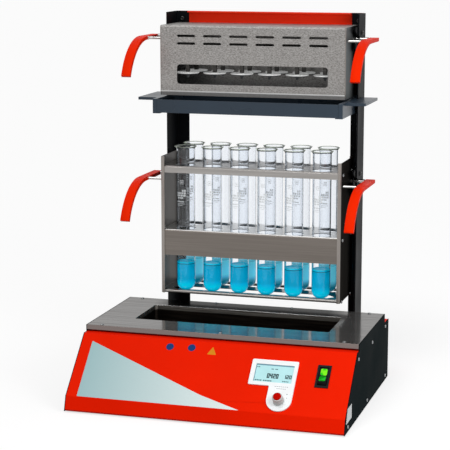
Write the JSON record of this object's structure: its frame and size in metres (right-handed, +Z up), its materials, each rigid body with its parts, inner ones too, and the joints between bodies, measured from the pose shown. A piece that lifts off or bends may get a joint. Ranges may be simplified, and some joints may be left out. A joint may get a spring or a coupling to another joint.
{
  "type": "block digester",
  "caption": "Infrared block digester: slanted red console, heating well, and a stand with a tube rack, drip tray and exhaust hood that lift off.",
  "frame": {"origin": "on the bench under the middle of the whole object, level with the underside of the feet", "axes": "+Z up along the stand, +Y to the back, +X to the operator's right"},
  "size_m": [0.5756, 0.51, 0.776],
  "materials": {
    "casing_black": "satin",
    "red_paint": "satin",
    "brushed_top": "brushed, polished",
    "stainless": "satin",
    "slate_blue": "satin",
    "quartz": "frosted",
    "ceramic": "matte",
    "rubber": "matte",
    "screw_steel": "satin",
    "polished": "polished",
    "black_plastic": "satin",
    "white_plastic": "gloss",
    "red_plastic": "gloss",
    "display": "gloss",
    "board": "matte",
    "glass": "clear"
  },
  "bodies": {
    "base": {"base_pan": "casing_black", "cable_gland": "black_plastic", "casing_screws": "screw_steel", "column_left": "casing_black", "column_right": "casing_black", "control_board": "board", "crossbar": "red_paint", "display_bezel": "white_plastic", "display_screen": "display", "encoder_bush": "screw_steel", "feet": "rubber", "front_panel": "red_paint", "heater_holders": "ceramic", "heating_well": "stainless", "hook_plates": "casing_black", "quartz_heaters": "quartz", "rear_panel": "red_paint", "side_panel_left": "casing_black", "side_panel_right": "casing_black", "stand_bolts": "screw_steel", "stand_brackets": "casing_black", "switch_frame": "black_plastic", "top_plate": "brushed_top", "tray_shelf": "slate_blue"},
    "rocker": {"switch_rocker": "black_plastic"},
    "encoder_shaft": {"encoder_shaft": "screw_steel"},
    "knob": {"knob_body": "white_plastic", "knob_cap": "red_plastic"},
    "drip_tray": {"drip_tray": "slate_blue"},
    "rack": {"rack_side_left": "stainless", "rack_side_right": "stainless", "rack_top_shelf": "stainless", "rack_middle_shelf": "stainless", "rack_bottom_shelf": "stainless", "rack_rods": "polished", "rack_screws": "screw_steel", "rack_handle_left": "red_paint", "rack_handle_right": "red_paint"},
    "hood": {"hood_cover": "stainless", "hood_side_left": "stainless", "hood_side_right": "stainless", "hood_rods": "polished", "hood_handle_left": "red_paint", "hood_handle_right": "red_paint", "exhaust_manifold": "stainless", "suction_caps": "polished", "hose_connector": "black_plastic"},
    "tube_front_1": {"tube_front_1": "glass"},
    "tube_front_2": {"tube_front_2": "glass"},
    "tube_front_3": {"tube_front_3": "glass"},
    "tube_front_4": {"tube_front_4": "glass"},
    "tube_front_5": {"tube_front_5": "glass"},
    "tube_front_6": {"tube_front_6": "glass"},
    "tube_back_1": {"tube_back_1": "glass"},
    "tube_back_2": {"tube_back_2": "glass"},
    "tube_back_3": {"tube_back_3": "glass"},
    "tube_back_4": {"tube_back_4": "glass"},
    "tube_back_5": {"tube_back_5": "glass"},
    "tube_back_6": {"tube_back_6": "glass"}
  },
  "joints": [
    {"name": "rocker_tilt", "type": "hinge", "parent": "base", "child": "rocker", "pos_m": [0.227, -0.17925, 0.09208], "axis": [1, 0, 0], "range_deg": [0, 24]},
    {"name": "knob_push", "type": "slide", "parent": "base", "child": "encoder_shaft", "axis": [0, 0.7037, -0.7105], "range_m": [0, 0.001], "stiffness_N_per_m": 400},
    {"name": "knob_turn", "type": "hinge", "parent": "encoder_shaft", "child": "knob", "pos_m": [0.14975, -0.22984, 0.05506], "axis": [0, -0.7037, 0.7105], "continuous": true},
    {"name": "drip_tray_slide", "type": "slide", "parent": "base", "child": "drip_tray", "axis": [0, 1, 0], "range_m": [-0.15, 0]},
    {"name": "rack_lift_off", "type": "slide", "parent": "base", "child": "rack", "axis": [0, -0.9063, 0.4226], "range_m": [0, 0.16]},
    {"name": "hood_lift_off", "type": "slide", "parent": "base", "child": "hood", "axis": [0, -0.9063, 0.4226], "range_m": [0, 0.16]},
    {"name": "tube_front_1_lift", "type": "slide", "parent": "rack", "child": "tube_front_1", "axis": [0, 0, 1], "range_m": [0, 0.07]},
    {"name": "tube_front_2_lift", "type": "slide", "parent": "rack", "child": "tube_front_2", "axis": [0, 0, 1], "range_m": [0, 0.07]},
    {"name": "tube_front_3_lift", "type": "slide", "parent": "rack", "child": "tube_front_3", "axis": [0, 0, 1], "range_m": [0, 0.07]},
    {"name": "tube_front_4_lift", "type": "slide", "parent": "rack", "child": "tube_front_4", "axis": [0, 0, 1], "range_m": [0, 0.07]},
    {"name": "tube_front_5_lift", "type": "slide", "parent": "rack", "child": "tube_front_5", "axis": [0, 0, 1], "range_m": [0, 0.07]},
    {"name": "tube_front_6_lift", "type": "slide", "parent": "rack", "child": "tube_front_6", "axis": [0, 0, 1], "range_m": [0, 0.07]},
    {"name": "tube_back_1_lift", "type": "slide", "parent": "rack", "child": "tube_back_1", "axis": [0, 0, 1], "range_m": [0, 0.07]},
    {"name": "tube_back_2_lift", "type": "slide", "parent": "rack", "child": "tube_back_2", "axis": [0, 0, 1], "range_m": [0, 0.07]},
    {"name": "tube_back_3_lift", "type": "slide", "parent": "rack", "child": "tube_back_3", "axis": [0, 0, 1], "range_m": [0, 0.07]},
    {"name": "tube_back_4_lift", "type": "slide", "parent": "rack", "child": "tube_back_4", "axis": [0, 0, 1], "range_m": [0, 0.07]},
    {"name": "tube_back_5_lift", "type": "slide", "parent": "rack", "child": "tube_back_5", "axis": [0, 0, 1], "range_m": [0, 0.07]},
    {"name": "tube_back_6_lift", "type": "slide", "parent": "rack", "child": "tube_back_6", "axis": [0, 0, 1], "range_m": [0, 0.07]}
  ]
}
